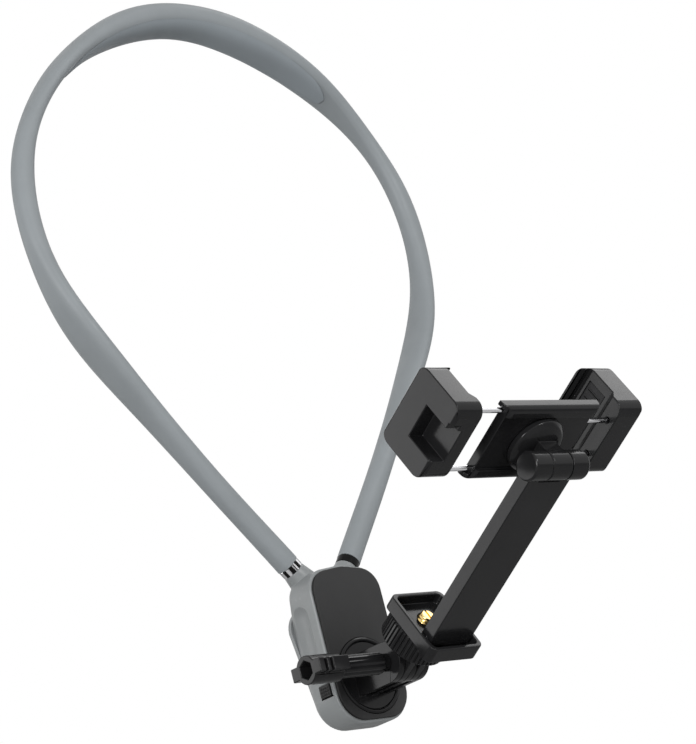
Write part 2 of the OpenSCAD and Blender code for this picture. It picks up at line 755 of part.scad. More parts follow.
module clamp_body() {
    color([0.15, 0.15, 0.15]) chain() translate([0, body_back, arm_reach]) difference() {
        intersection() {
            translate([0, 0, -body_h / 2]) linear_extrude(height = body_h)
                body_section(body_w, body_t, body_r);
            translate([-body_w / 2, 0, 0]) rotate([90, 0, 90]) linear_extrude(height = body_w)
                rotate([0, 0, -90]) translate([0, 0]) body_section(body_h, body_t, body_edge);
        }
        for (s = [-1, 1]) translate([s * body_w / 2, rod_off, 0])
            cube([2 * side_cut, 2 * side_cut_y, side_cut_h], center = true);
        for (z = [-1, 1]) {
            translate([-body_w / 2 - cut, rod_off, z * left_rods]) rotate([0, 90, 0])
                cylinder(h = body_w - rod_stop + cut, r = rod_d / 2 + run_fit);
            translate([body_w / 2 + cut, rod_off, z * right_rods]) rotate([0, -90, 0])
                cylinder(h = body_w - rod_stop + cut, r = rod_d / 2 + run_fit);
            translate([0, rod_off - spring_set, z * (left_rods + right_rods) / 2]) rotate([0, 90, 0])
                cylinder(h = spring_run + 2 * gap_fit, r = spring_d / 2 + seat_fit, center = true);
        }
        rotate([-90, 0, 0]) translate([0, 0, -cut]) cylinder(h = body_t + 2 * cut, r = post_r + run_fit);
        rotate([-90, 0, 0]) translate([0, 0, body_t - post_head_t - post_gap - seat_fit])
            cylinder(h = body_t, r = post_head_r + gap_fit);
    }
}

body_edge = 1.6;
side_cut_y = 2.4;
rod_stop = 2.6;
spring_set = 0.6;
spring_run = 22;
module phone_pad() {
    color([0.1, 0.1, 0.1]) chain() translate([0, body_front, arm_reach]) rotate([-90, 0, 0])
        linear_extrude(height = phone_pad_t) round_rect(phone_pad_w, phone_pad_h, jaw_r);
}

module clamp_springs() {
    color([0.7, 0.7, 0.72]) chain() for (z = [-1, 1])
        translate([0, body_back + rod_off - spring_set, arm_reach + z * (left_rods + right_rods) / 2])
        rotate([0, 90, 0]) difference() {
            cylinder(h = spring_run, r = spring_d / 2, center = true);
            cylinder(h = spring_run + cut, r = spring_d / 2 - spring_wire, center = true);
        }
}

// The right jaw; z_rod is the offset of its two rods
module jaw(z_rod) {
    lip_in = jaw_in - lip_reach;
    heel_in = jaw_in - jaw_heel;
    difference() {
        intersection() {
            translate([0, 0, -body_h / 2]) linear_extrude(height = body_h) polygon([
                [heel_in, 0], [jaw_out - jaw_bevel, 0], [jaw_out, jaw_bevel],
                [jaw_out, jaw_depth - jaw_bevel], [jaw_out - jaw_bevel, jaw_depth],
                [lip_in, jaw_depth], [lip_in, jaw_depth - lip_t / 2],
                [lip_in + lip_t / 2, jaw_depth - lip_t], [jaw_in, jaw_depth - lip_t],
                [jaw_in, heel_front + heel_chamfer], [heel_in, heel_front]]);
            translate([0, jaw_depth / 2, 0]) rotate([90, 0, 90]) linear_extrude(height = jaw_span)
                round_rect(jaw_depth, body_h, jaw_r);
        }
        translate([jaw_in + pocket_wall, -cut, window_off - window_h / 2])
            cube([jaw_span, window_top + cut, window_h]);
        translate([heel_in - cut, rod_off, z_rod]) rotate([0, 90, 0])
            cylinder(h = rod_root + cut, r = rod_d / 2 + run_fit);
        translate([heel_in - cut, rod_off, -z_rod]) rotate([0, 90, 0])
            cylinder(h = rod_root + cut, r = rod_d / 2 + run_fit);
        translate([jaw_in - cut, pad_y - jaw_pad_w / 2, -jaw_pad_h / 2])
            cube([jaw_pad_t + cut, jaw_pad_w, jaw_pad_h]);
    }
}

pad_y = 15.2;
module jaw_pad() {
    translate([jaw_in, pad_y - jaw_pad_w / 2 + seat_fit, -jaw_pad_h / 2 + seat_fit])
        cube([jaw_pad_t, jaw_pad_w - 2 * seat_fit, jaw_pad_h - 2 * seat_fit]);
}

module jaw_rods(z_rod) {
    heel_in = jaw_in - jaw_heel;
    for (z = [-1, 1]) translate([-rod_reach, rod_off, z * z_rod]) rotate([0, 90, 0])
        cylinder(h = rod_reach + heel_in + rod_root - seat_fit, r = rod_d / 2);
}

module at_clamp() {
    chain() translate([0, body_back, arm_reach]) children();
}

module left_jaw() {
    color([0.16, 0.16, 0.16]) at_clamp() mirror([1, 0, 0]) jaw(left_rods);
}

module left_jaw_rods() {
    color([0.85, 0.85, 0.87]) at_clamp() mirror([1, 0, 0]) jaw_rods(left_rods);
}

module left_jaw_pad() {
    color([0.1, 0.1, 0.1]) at_clamp() mirror([1, 0, 0]) jaw_pad();
}

module right_jaw() {
    color([0.16, 0.16, 0.16]) at_clamp() jaw(right_rods);
}

module right_jaw_rods() {
    color([0.85, 0.85, 0.87]) at_clamp() jaw_rods(right_rods);
}

module right_jaw_pad() {
    color([0.1, 0.1, 0.1]) at_clamp() jaw_pad();
}

band_sleeve();
band_core();
neck_pad();
left_trim_ring();
right_trim_ring();
rear_shell();
front_panel();
chest_pad();
bezel_ring();
left_button();
right_button();
button_springs();
turntable();
turntable_hub();
hex_nut();
screw_shaft();
thumbscrew_knob();
tilt_adapter();
tripod_stud();
lock_wheel();
hinge_tray();
arm_pin();
arm();
top_pin();
swivel_neck();
swivel_post();
clamp_body();
phone_pad();
clamp_springs();
left_jaw();
left_jaw_rods();
left_jaw_pad();
right_jaw();
right_jaw_rods();
right_jaw_pad();
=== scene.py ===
import json
import math

import bmesh
import bpy
from mathutils import Matrix, Vector


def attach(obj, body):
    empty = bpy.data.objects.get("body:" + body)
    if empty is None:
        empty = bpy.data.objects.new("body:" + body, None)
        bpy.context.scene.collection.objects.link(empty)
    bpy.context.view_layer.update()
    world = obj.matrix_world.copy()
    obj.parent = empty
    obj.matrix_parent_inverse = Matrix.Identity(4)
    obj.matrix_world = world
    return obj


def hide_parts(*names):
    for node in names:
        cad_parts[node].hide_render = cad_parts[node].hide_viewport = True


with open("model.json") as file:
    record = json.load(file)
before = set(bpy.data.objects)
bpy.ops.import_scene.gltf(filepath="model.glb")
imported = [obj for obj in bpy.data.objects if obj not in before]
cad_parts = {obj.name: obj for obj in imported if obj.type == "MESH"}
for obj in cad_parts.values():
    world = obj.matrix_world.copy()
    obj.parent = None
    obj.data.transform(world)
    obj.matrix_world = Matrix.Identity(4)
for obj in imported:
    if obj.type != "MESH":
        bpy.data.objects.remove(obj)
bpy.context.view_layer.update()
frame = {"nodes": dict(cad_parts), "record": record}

MM = 0.001

# Camera at the photograph's angle
CAM_AT = (-0.64520, -0.71156, -0.16812)
CAM_RIGHT = (0.74151, -0.62483, -0.24442)
CAM_DOWN = (0.00239, 0.36675, -0.93032)
CAM_AHEAD = (0.67093, 0.68926, 0.27345)
FOCAL_PX, HEIGHT_PX, SENSOR = 2600, 744, 36
CLIP_NEAR, CLIP_FAR = 0.01, 20


def make_camera():
    data = bpy.data.cameras.new("camera")
    data.sensor_width = SENSOR
    data.lens = FOCAL_PX / HEIGHT_PX * SENSOR
    data.clip_start, data.clip_end = CLIP_NEAR, CLIP_FAR
    cam = bpy.data.objects.new("camera", data)
    bpy.context.collection.objects.link(cam)
    right, up, back = Vector(CAM_RIGHT), -Vector(CAM_DOWN), -Vector(CAM_AHEAD)
    rot = Matrix((right, up, back)).transposed()
    cam.matrix_world = Matrix.Translation(CAM_AT) @ rot.to_4x4()
    bpy.context.scene.camera = cam


make_camera()


# Materials: noise scales count features per metre, depths of bumps are in metres
class Shader:
    """A Principled material and the few node helpers that its makers share."""

    def __init__(self, name, rough, metal=0.0, spec=0.5):
        self.mat = bpy.data.materials.new(name)
        self.mat.use_nodes = True
        self.tree = self.mat.node_tree
        self.tree.nodes.clear()
        out = self.tree.nodes.new("ShaderNodeOutputMaterial")
        self.bsdf = self.tree.nodes.new("ShaderNodeBsdfPrincipled")
        self.tree.links.new(self.bsdf.outputs[0], out.inputs[0])
        self.set("Roughness", rough)
        self.set("Metallic", metal)
        self.set("Specular IOR Level", spec)
        self.coord = self.tree.nodes.new("ShaderNodeTexCoord")

    def set(self, socket, value):
        self.bsdf.inputs[socket].default_value = value

    def link(self, source, socket):
        self.tree.links.new(source, self.bsdf.inputs[socket])

    def noise(self, scale, detail=3, rough=0.5, stretch=None):
        tex = self.tree.nodes.new("ShaderNodeTexNoise")
        tex.inputs["Scale"].default_value = scale
        tex.inputs["Detail"].default_value = detail
        tex.inputs["Roughness"].default_value = rough
        source = self.coord.outputs["Object"]
        if stretch:
            mapping = self.tree.nodes.new("ShaderNodeMapping")
            mapping.inputs["Scale"].default_value = stretch
            self.tree.links.new(source, mapping.inputs["Vector"])
            source = mapping.outputs["Vector"]
        self.tree.links.new(source, tex.inputs["Vector"])
        return tex.outputs["Fac"]

    def ramp(self, source, low, high, a=0, b=1):
        node = self.tree.nodes.new("ShaderNodeMapRange")
        node.inputs["From Min"].default_value = low
        node.inputs["From Max"].default_value = high
        node.inputs["To Min"].default_value = a
        node.inputs["To Max"].default_value = b
        self.tree.links.new(source, node.inputs["Value"])
        return node.outputs["Result"]

    def mix(self, fac, a, b):
        node = self.tree.nodes.new("ShaderNodeMix")
        node.data_type = "RGBA"
        self.tree.links.new(fac, node.inputs["Factor"])
        for socket, value in (("A", a), ("B", b)):
            if isinstance(value, tuple):
                node.inputs[socket].default_value = (*value, 1)
            else:
                self.tree.links.new(value, node.inputs[socket])
        return node.outputs["Result"]

    def mottle(self, noise, base, vary, low=0.3, high=0.7):
        """The base colour, a little darker and lighter with the noise."""
        return self.mix(self.ramp(noise, low, high), shade(base, 1 - vary), shade(base, 1 + vary))

    def specks(self, noise, body, pale, low, high, amount):
        """Paler specks on the body colour where the noise is high."""
        return self.mix(self.ramp(noise, low, high, 0, amount), body, pale)

    def gloss(self, noise, rough, least, most):
        """Roughness that wanders with the noise between two shares of its value."""
        self.link(self.ramp(noise, 0.3, 0.7, rough * least, min(1, rough * most)), "Roughness")

    def bump(self, height, strength, depth):
        node = self.tree.nodes.new("ShaderNodeBump")
        node.inputs["Strength"].default_value = strength
        node.inputs["Distance"].default_value = depth
        self.tree.links.new(height, node.inputs["Height"])
        self.link(node.outputs["Normal"], "Normal")

    def edges(self, low, high):
        """1 on convex edges and 0 elsewhere, from the mesh's own pointiness; plastic() paints its edge
        highlight there.
        """
        geo = self.tree.nodes.new("ShaderNodeNewGeometry")
        return self.ramp(geo.outputs["Pointiness"], low, high)


def shade(color, k):
    return tuple(min(1, c * k) for c in color)


def plastic(name, base, rough, grain=2200, vary=0.12, spec=0.5, wear_and_edge_highlight=0.35):
    """Moulded plastic: faint mottling, fine grain, paler specks of wear and slightly paler convex edges as a
    painted highlight.
    """
    s = Shader(name, rough, spec=spec)
    body = s.mottle(s.noise(scale=55, detail=4), base, vary)
    speck = s.noise(scale=900, detail=2, rough=0.7)
    body = s.specks(speck, body, shade(base, 1.6), low=0.62, high=0.8, amount=wear_and_edge_highlight)
    # Convex edges are painted slightly paler as an edge highlight; the paler specks above are wear.
    s.link(s.mix(s.edges(low=0.52, high=0.62), body, shade(base, 1 + wear_and_edge_highlight)), "Base Color")
    s.gloss(s.noise(scale=140, detail=5, rough=0.6), rough, least=0.85, most=1.15)
    s.bump(s.noise(grain, detail=2), strength=0.35, depth=0.00002)
    return s.mat


def rubber(name, base, rough, grain=1500, vary=0.06):
    """Soft silicone or rubber: matt, powdery, with a fine pebble."""
    s = Shader(name, rough, spec=0.35)
    body = s.mottle(s.noise(scale=35, detail=5, rough=0.55), base, vary)
    dust = s.noise(scale=700, detail=3, rough=0.75)
    s.link(s.specks(dust, body, shade(base, 1.25), low=0.6, high=0.85, amount=0.25), "Base Color")
    s.gloss(s.noise(scale=160, detail=4), rough, least=0.9, most=1.1)
    s.bump(s.noise(grain, detail=3, rough=0.6), strength=0.4, depth=0.00003)
    return s.mat


def metal(name, base, rough, stretch=(1, 1, 1), vary=0.06):
    """Plated or bare metal with fine turning marks and slight stains."""
    s = Shader(name, rough, metal=1)
    stain = s.noise(scale=90, detail=5, rough=0.6)
    s.link(s.mottle(stain, base, vary, low=0.35, high=0.7), "Base Color")
    s.gloss(s.noise(scale=260, detail=4, rough=0.6, stretch=stretch), rough, least=0.7, most=1.4)
    s.bump(s.noise(scale=1800, detail=3, rough=0.6, stretch=stretch), strength=0.3, depth=0.000006)
    return s.mat


def panel(name, base, edge, rough):
    """Front panel: satin face with side walls painted near black as shade, told apart by the surface's own
    normal.
    """
    s = Shader(name, rough, spec=0.3)
    axes = s.tree.nodes.new("ShaderNodeSeparateXYZ")
    s.tree.links.new(s.coord.outputs["Normal"], axes.inputs[0])
    # Faces that turn away from the front, the side walls, are painted near black as shade.
    shaded_side_mask = s.ramp(axes.outputs["Y"], low=-0.95, high=-0.6)
    face = s.mottle(s.noise(scale=40, detail=5), base, vary=0.06)
    fine = s.noise(scale=1200, detail=2, rough=0.7)
    face = s.specks(fine, face, shade(base, 1.3), low=0.6, high=0.8, amount=0.3)
    s.link(s.mix(shaded_side_mask, face, edge), "Base Color")
    s.gloss(s.noise(scale=150, detail=4), rough, least=0.9, most=1.1)
    s.bump(s.noise(scale=3000, detail=2), strength=0.3, depth=0.00001)
    return s.mat


MATS = {
    "band_grey": rubber("band_silicone", (0.236, 0.256, 0.268), rough=0.5),
    "pad_grey": rubber("nape_silicone", (0.232, 0.258, 0.277), rough=0.58, grain=1100),
    "core_wire": metal("core_wire", (0.5, 0.5, 0.52), rough=0.35),
    # The trim ring's bright ribs and near black ring paint the light and dark reflection stripes of a chrome
    # ring.
    "ring_bright": metal("ring_bright", (0.88, 0.88, 0.9), rough=0.16, stretch=(1, 1, 6)),
    "ring_dark": plastic("ring_dark", (0.004, 0.004, 0.004), rough=0.25, spec=0.1),
    "shell_silver": plastic("shell_silver", (0.21, 0.221, 0.224), rough=0.42, grain=2600, vary=0.04,
                            spec=0.4),
    # The panel's near black edge colour is painted shade on its side walls.
    "panel_black": panel("panel_black", (0.022, 0.022, 0.0225), edge=(0.002, 0.002, 0.002), rough=0.5),
    "black_plastic": plastic("black_plastic", (0.012, 0.012, 0.0126), rough=0.17, spec=0.18),
    "button_black": plastic("button_black", (0.007, 0.007, 0.007), rough=0.5, spec=0.3),
    "spring_steel": metal("spring_steel", (0.55, 0.55, 0.57), rough=0.3),
    "nut_steel": metal("nut_steel", (0.78, 0.78, 0.8), rough=0.22),
    "rod_chrome": metal("rod_chrome", (0.9, 0.9, 0.92), rough=0.1, stretch=(6, 1, 1), vary=0.03),
    "stud_brass": metal("stud_brass", (0.83, 0.60, 0.24), rough=0.2),
    "pad_rubber": rubber("pad_rubber", (0.013, 0.013, 0.014), rough=0.65, vary=0.15),
}
SLOTS = {s["node"]: s["material_slot"] for s in frame["record"]["subparts"]}


# CAD nodes get smooth shading, and those named here small rounded edges, all in millimetres
EDGES = {
    "front_panel": 0.25, "bezel_ring": 0.12, "left_button": 0.3, "right_button": 0.3, "turntable": 0.2,
    "hex_nut": 0.25, "tilt_adapter": 0.2, "right_trim_ring": 0.2,
}
FLAT_DEG, CREASE_DEG, SHARP_DEG = 0.8, 30, 42
WELD, DOUBLES = 0.002, 0.001
EDGE_SEGMENTS, NORMAL_WEIGHT = 2, 60


def weld(obj):
    obj.modifiers.new("weld", "WELD").merge_threshold = WELD * MM


def round_edges(obj, width, angle=CREASE_DEG):
    """Welds, clears needless edges on flat faces and rounds the creases by the width."""
    obj.data.shade_smooth()
    if obj.data.has_custom_normals:
        obj.data.attributes.remove(obj.data.attributes["custom_normal"])
    weld(obj)
    flat = obj.modifiers.new("flat faces", "DECIMATE")
    flat.decimate_type = "DISSOLVE"
    flat.angle_limit = math.radians(FLAT_DEG)
    if width:
        bevel = obj.modifiers.new("edges", "BEVEL")
        bevel.limit_method = "ANGLE"
        bevel.angle_limit = math.radians(angle)
        bevel.width = width * MM
        bevel.segments = EDGE_SEGMENTS
        bevel.use_clamp_overlap = False
    normals = obj.modifiers.new("normals", "WEIGHTED_NORMAL")
    normals.weight = NORMAL_WEIGHT


for name, obj in frame["nodes"].items():
    obj.data.materials.clear()
    obj.data.materials.append(MATS[SLOTS[name]])
    round_edges(obj, EDGES.get(name, 0))


# Pieces and the solids that they are made of
def piece(name, points, faces, body, slot, smooth=True):
    """A new piece from points in millimetres, riding on a body with a slot's material."""
    mesh = bpy.data.meshes.new(name)
    mesh.from_pydata([[c * MM for c in p] for p in points], [], faces)
    bm = bmesh.new()
    bm.from_mesh(mesh)
    bmesh.ops.remove_doubles(bm, verts=bm.verts, dist=DOUBLES * MM)
    bmesh.ops.recalc_face_normals(bm, faces=bm.faces)
    bm.to_mesh(mesh)
    bm.free()
    if smooth:
        mesh.shade_smooth()
        mesh.set_sharp_from_angle(angle=math.radians(SHARP_DEG))
    obj = bpy.data.objects.new(name, mesh)
    bpy.context.collection.objects.link(obj)
    mesh.materials.append(MATS[slot])
    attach(obj, body)
    return obj


def rings_to_faces(rings, sides, capped=True):
    faces = []
    for i in range(rings - 1):
        for j in range(sides):
            a, b = i * sides + j, i * sides + (j + 1) % sides
            faces.append((a, b, b + sides, a + sides))
    if capped:
        faces.append(tuple(range(sides)))
        faces.append(tuple(range((rings - 1) * sides, rings * sides)))
    return faces


def prism(outline, place, lo, hi):
    """A straight solid: the outline at both ends, place turns its points to the model's frame."""
    points = [place(a, b, h) for h in (lo, hi) for a, b in outline]
    return points, rings_to_faces(2, len(outline))


def turned(profile, place, sides=64):
    """A solid of revolution from pairs of radius and height; place takes two sides and a height."""
    points = []
    for r, h in profile:
        for j in range(sides):
            t = 2 * math.pi * j / sides
            points.append(place(r * math.cos(t), r * math.sin(t), h))
    return points, rings_to_faces(len(profile), sides)


def rod(r, lo, hi, place, sides=64):
    return turned([(r, lo), (r, hi)], place, sides)


def block(x0, x1, y0, y1, lo, hi, place):
    return prism([(x0, y0), (x1, y0), (x1, y1), (x0, y1)], place, lo, hi)


def rounded(w, h, r, per_corner=8):
    """Outline of a rectangle with round corners."""
    points = []
    for k, (sx, sz) in enumerate(((1, 1), (-1, 1), (-1, -1), (1, -1))):
        for j in range(per_corner + 1):
            t = math.radians(90 * k + 90 * j / per_corner)
            points.append((sx * (w / 2 - r) + r * math.cos(t), sz * (h / 2 - r) + r * math.sin(t)))
    return points


JOIN, CUT, KEEP = "UNION", "DIFFERENCE", "INTERSECT"


def shape(obj, steps, body, slot):
    """Joins, cuts or trims the object with each step's solid and keeps the result as its mesh."""
    tools = []
    for i, (operation, (points, faces)) in enumerate(steps):
        tool = piece(f"{obj.name}_tool_{i}", points, faces, body, slot, smooth=False)
        cut = obj.modifiers.new("cut", "BOOLEAN")
        cut.operation, cut.solver, cut.object = operation, "EXACT", tool
        tools.append(tool)
    bpy.context.view_layer.update()
    made = bpy.data.meshes.new_from_object(obj.evaluated_get(bpy.context.evaluated_depsgraph_get()))
    obj.modifiers.clear()
    obj.data = made
    for tool in tools:
        bpy.data.objects.remove(tool)


def carve(name, base, steps, body, node, edge):
    """A black moulding that stands for its CAD node, with its edges rounded in the same way."""
    obj = piece(name, *base, body, "black_plastic", smooth=False)
    shape(obj, steps, body, "black_plastic")
    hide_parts(node)
    round_edges(obj, edge)


# Neck loop in millimetres, on the line of the CAD model's band
LOOP_HALF, LOOP_RISE = 98.3, 236.9
LOOP_Y, SOCKET_Z = -7.2, 26.8
ROOT, ROOT_TILT = (15.3, 7.5), math.radians(40)
BAND_W, BAND_D = 8.7, 7.8
LOOP_SHARES = [
    (0.263, 0.089), (0.366, 0.14), (0.52, 0.225), (0.67, 0.31), (0.793, 0.378), (0.9, 0.447),
    (0.968, 0.517), (1, 0.606), (0.975, 0.695), (0.908, 0.755), (0.82, 0.816), (0.7, 0.871),
    (0.577, 0.912), (0.42, 0.95), (0.237, 0.982),
]
THICK_SHARES = [1, 1.01, 1, 0.88, 0.8, 0.87, 0.86, 0.88, 0.99, 1, 0.85, 0.77, 0.8, 0.93, 1.21, 1.39, 1.34]
DEPTH_SHARES = [
    1.115, 1.04, 1.03, 1.31, 1.69, 2.03, 1.92, 1.32, 1.02, 1.02, 1.02, 1.28, 1.84, 2.25, 2.3, 2.3, 2.2,
]
SEAT_SHARES = [0, 0, 0, 0, 0, 0, 0, 0, 0, 0, 0, 0.1, 0.2, 0.45, 0.8, 1, 0.95]
ROUND_SHARE = 0.86
SEAT_DEPTH, SEAT_MIN = 3, math.radians(3)
SPANS = 2 * len(LOOP_SHARES) + 2
PER_SPAN, BAND_SIDES = 7, 40
LINE_PASSES, LINE_REACH = 3, 5
SIZE_PASSES, SIZE_REACH = 2, 3
RUN_STEP = 0.2


def both(values):
    return values + values[-2::-1]


BRANCH = [ROOT] + [(x * LOOP_HALF, z * LOOP_RISE) for x, z in LOOP_SHARES]
LOOP_X = [-p[0] for p in BRANCH] + [0] + [p[0] for p in reversed(BRANCH)]
LOOP_Z = [p[1] for p in BRANCH] + [LOOP_RISE] + [p[1] for p in reversed(BRANCH)]
THICK, DEPTH, SEAT = both(THICK_SHARES), both(DEPTH_SHARES), both(SEAT_SHARES)


def value_at(values, i):
    if i < 0:
        return 2 * values[0] - values[1]
    if i >= len(values):
        return 2 * values[-1] - values[-2]
    return values[i]


def curve(values, u):
    """Smooth curve through the listed values at the place u."""
    i = min(max(int(u), 0), len(values) - 2)
    t = u - i
    a, b, c, d = (value_at(values, i + k) for k in (-1, 0, 1, 2))
    square, cube = 2 * a - 5 * b + 4 * c - d, 3 * b - a - 3 * c + d
    return 0.5 * (2 * b + (c - a) * t + square * t * t + cube * t ** 3)


def straight(values, u):
    i = min(int(u), len(values) - 2)
    return values[i] + (values[i + 1] - values[i]) * (u - i)


def mean_round(values, k, reach):
    """Mean of the values round place k, as far to one side as to the other."""
    r = min(reach, k, len(values) - 1 - k)
    return sum(values[k - r:k + r + 1]) / (2 * r + 1)


def evened(values, passes, reach):
    """Samples of the curve through the values, PER_SPAN to a span, with their ripples evened out."""
    fine = [curve(values, k / PER_SPAN) for k in range(SPANS * PER_SPAN + 1)]
    for _ in range(passes):
        fine = [mean_round(fine, k, reach) for k in range(len(fine))]
    return fine


LINE_X, LINE_Z = (evened(values, LINE_PASSES, LINE_REACH) for values in (LOOP_X, LOOP_Z))
HALF_W = evened([BAND_W / 2 * share for share in THICK], SIZE_PASSES, SIZE_REACH)
HALF_D = evened([BAND_D / 2 * share for share in DEPTH], SIZE_PASSES, SIZE_REACH)


def soft(c):
    return math.copysign(abs(c) ** ROUND_SHARE, c)


def stand(x, back, up):
    """Stands a point of the loop up: x across, back to the wearer, up from the socket line."""
    return (x, LOOP_Y + back, SOCKET_Z + up)


def section(u):
    """Half thickness, half depth and the half angle of the pad's seat at the place u."""
    half_w, half_d = curve(HALF_W, u * PER_SPAN), curve(HALF_D, u * PER_SPAN)
    seat = SEAT_DEPTH * straight(SEAT, u)
    angle = math.acos(max(0, 1 - seat / half_w) ** (1 / ROUND_SHARE))
    return half_w, half_d, max(SEAT_MIN, angle)


def across(u, pairs):
    """Ring of points across the band at u; each pair runs inward in the loop's plane and back."""
    if u <= 0:
        run = (-math.sin(ROOT_TILT), math.cos(ROOT_TILT))
    elif u >= SPANS:
        run = (-math.sin(ROOT_TILT), -math.cos(ROOT_TILT))
    else:
        step = min(RUN_STEP, u, SPANS - u)
        run = [curve(v, (u + step) * PER_SPAN) - curve(v, (u - step) * PER_SPAN) for v in (LINE_X, LINE_Z)]
    size = math.hypot(*run)
    inward = (run[1] / size, -run[0] / size)
    x, z = curve(LINE_X, u * PER_SPAN), curve(LINE_Z, u * PER_SPAN)
    return [stand(x + inward[0] * p, q, z + inward[1] * p) for p, q in pairs]


def make_band():
    points, rows = [], SPANS * PER_SPAN + 1
    for k in range(rows):
        u = k / PER_SPAN
        half_w, half_d, seat = section(u)
        turn = [seat + (2 * math.pi - 2 * seat) * j / (BAND_SIDES - 1) for j in range(BAND_SIDES)]
        points += across(u, [(half_w * soft(math.cos(a)), half_d * soft(math.sin(a))) for a in turn])
    band = piece("band_skin", points, rings_to_faces(rows, BAND_SIDES), "housing", "band_grey")
    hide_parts("band_sleeve")


# Nape pad: a crowned inlay in the seat of the band's inner side
PAD_PROUD, PAD_SIDES, PAD_ROWS_SHARE = 0.4, 18, 1.6
PAD_START, PAD_TIP, PAD_INSET = 12.1, 0.7, 0.02
PAD_FLOOR, PAD_STEP, PAD_WIDE, TIP_SHARE = 0.25, 0.06, math.radians(24), 0.02
PAD_LEVEL_SHARE, PAD_TOP_SHARE, PAD_LOW_SHARE, PAD_POWER = 0.98, 1.002, 0.9, 4


def pad_reach(u):
    """Share of the seat that the pad fills at u, rounded off towards each end."""
    edge = min(u - PAD_START, SPANS - PAD_START - u)
    s = min(1, max(0, edge / PAD_TIP))
    return math.sqrt(1 - (1 - s) ** 2)


def pad_row(u):
    """The pad's section at u: its crowned top and, back again, its floor in the seat."""
    half_w, half_d, seat = section(u)
    reach = pad_reach(u)
    angle = max(seat, PAD_WIDE) * max(reach, TIP_SHARE)
    floor = min(half_w * soft(math.cos(max(seat, angle))), half_w * PAD_LEVEL_SHARE) - PAD_FLOOR
    top, low = [], []
    for j in range(PAD_SIDES):
        a = -angle + 2 * angle * j / (PAD_SIDES - 1)
        rise = PAD_PROUD * reach * (1 - (abs(a) / angle) ** PAD_POWER)
        side = half_d * soft(math.sin(a))
        top.append((half_w * soft(math.cos(a)) + rise + PAD_STEP, side * PAD_TOP_SHARE))
        low.append((floor, side * PAD_LOW_SHARE))
    return top + low[::-1]


def make_nape_pad():
    lo, hi = PAD_START + PAD_INSET, SPANS - PAD_START - PAD_INSET
    count = int((hi - lo) * PER_SPAN * PAD_ROWS_SHARE)
    points = []
    for k in range(count + 1):
        u = lo + (hi - lo) * (1 - math.cos(math.pi * k / count)) / 2
        points += across(u, pad_row(u))
    pad = piece("nape_pad", points, rings_to_faces(count + 1, 2 * PAD_SIDES), "housing", "pad_grey")
    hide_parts("neck_pad")


make_band()
make_nape_pad()


# Trim ring of the left branch: bright ribs on a dark ring; the ribs are real, and the contrast of the two
# finishes paints the reflection stripes of a chrome ring
TRIM_LEN, TRIM_R, SEAT_FIT = 3.2, 4.4, 0.1
RIBS, RIB_DEG, RIB_PROUD = 9, 19, 0.12
RING_WALL, RIB_WALL, ROLL_SHARE = 1.6, 0.6, 0.25
RING_STEPS, RIB_STEPS = 64, 8


def at_left_root(r, deg, along):
    """A point on a circle round the left end of the band; along runs out of the socket."""
    t = math.radians(deg)
    x, y, z = r * math.cos(t), r * math.sin(t), along
    sin, cos = math.sin(ROOT_TILT), math.cos(ROOT_TILT)
    return stand(-(ROOT[0] + x * cos + z * sin), y, ROOT[1] + z * cos - x * sin)


def sleeve_ring(name, inner, outer, start, sweep, steps, slot):
    """A ring or a rib of one: an arc of tube wall with slightly rounded ends."""
    lo, hi, roll = -TRIM_LEN, -SEAT_FIT, ROLL_SHARE * (outer - inner)
    profile = [(inner, lo), (outer - roll, lo), (outer, lo + roll), (outer, hi - roll), (outer - roll, hi),
               (inner, hi)]
    full, n = sweep >= 360, len(profile)
    points = []
    for i in range(steps if full else steps + 1):
        points += [at_left_root(r, start + sweep * i / steps, z) for r, z in profile]
    faces = rings_to_faces(len(points) // n, n, capped=not full)
    if full:
        last = len(points) - n
        faces += [(last + j, last + (j + 1) % n, (j + 1) % n, j) for j in range(n)]
    return piece(name, points, faces, "housing", slot)


def make_left_ring():
    ring = sleeve_ring("left_ring", TRIM_R - RING_WALL, TRIM_R - RIB_PROUD, 0, 360, RING_STEPS, "ring_dark")
    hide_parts("left_trim_ring")
    for i in range(RIBS):
        sleeve_ring(f"left_ring_rib_{i}", TRIM_R - RIB_WALL, TRIM_R, 360 * i / RIBS, RIB_DEG, RIB_STEPS,
                    "ring_bright")


make_left_ring()


# Soft pads of the housing and the clamp
CORNER_MIN = 0.3


def cushion(name, w, h, r, levels, place, body, slot, fill):
    """A padded piece from rounded rectangles, each a margin in from the outline at a height."""
    points = []
    for margin, height in levels:
        outline = rounded(w - 2 * margin, h - 2 * margin, max(r - margin, CORNER_MIN))
        points += [place(a, b, height) for a, b in outline]
    sides = len(points) // len(levels)
    obj = piece(name, points, rings_to_faces(len(levels), sides), body, slot)
    return obj


def crowned(depth, edge, crown, reach, steps=6):
    """Levels of a cushion: a rolled edge, then a crown that rises to the middle."""
    levels = [(0, 0)]
    for i in range(steps + 1):
        t = math.pi / 2 * i / steps
        levels.append((edge * (1 - math.cos(t)), depth - crown - edge + edge * math.sin(t)))
    for i in range(1, steps + 1):
        t = math.pi / 2 * i / steps
        levels.append((edge + (reach - edge) * i / steps, depth - crown + crown * math.sin(t)))
    return levels


CHEST_W, CHEST_TOP, CHEST_LOW, CHEST_R, CHEST_T = 34.6, 18.3, -27, 9, 2.6
CHEST_TAPER_SHARE, TAPER_FROM, TAPER_POWER = 0.3, 9, 0.8
CHEST_EDGE, CHEST_CROWN, CHEST_REACH = 0.9, 0.5, 11


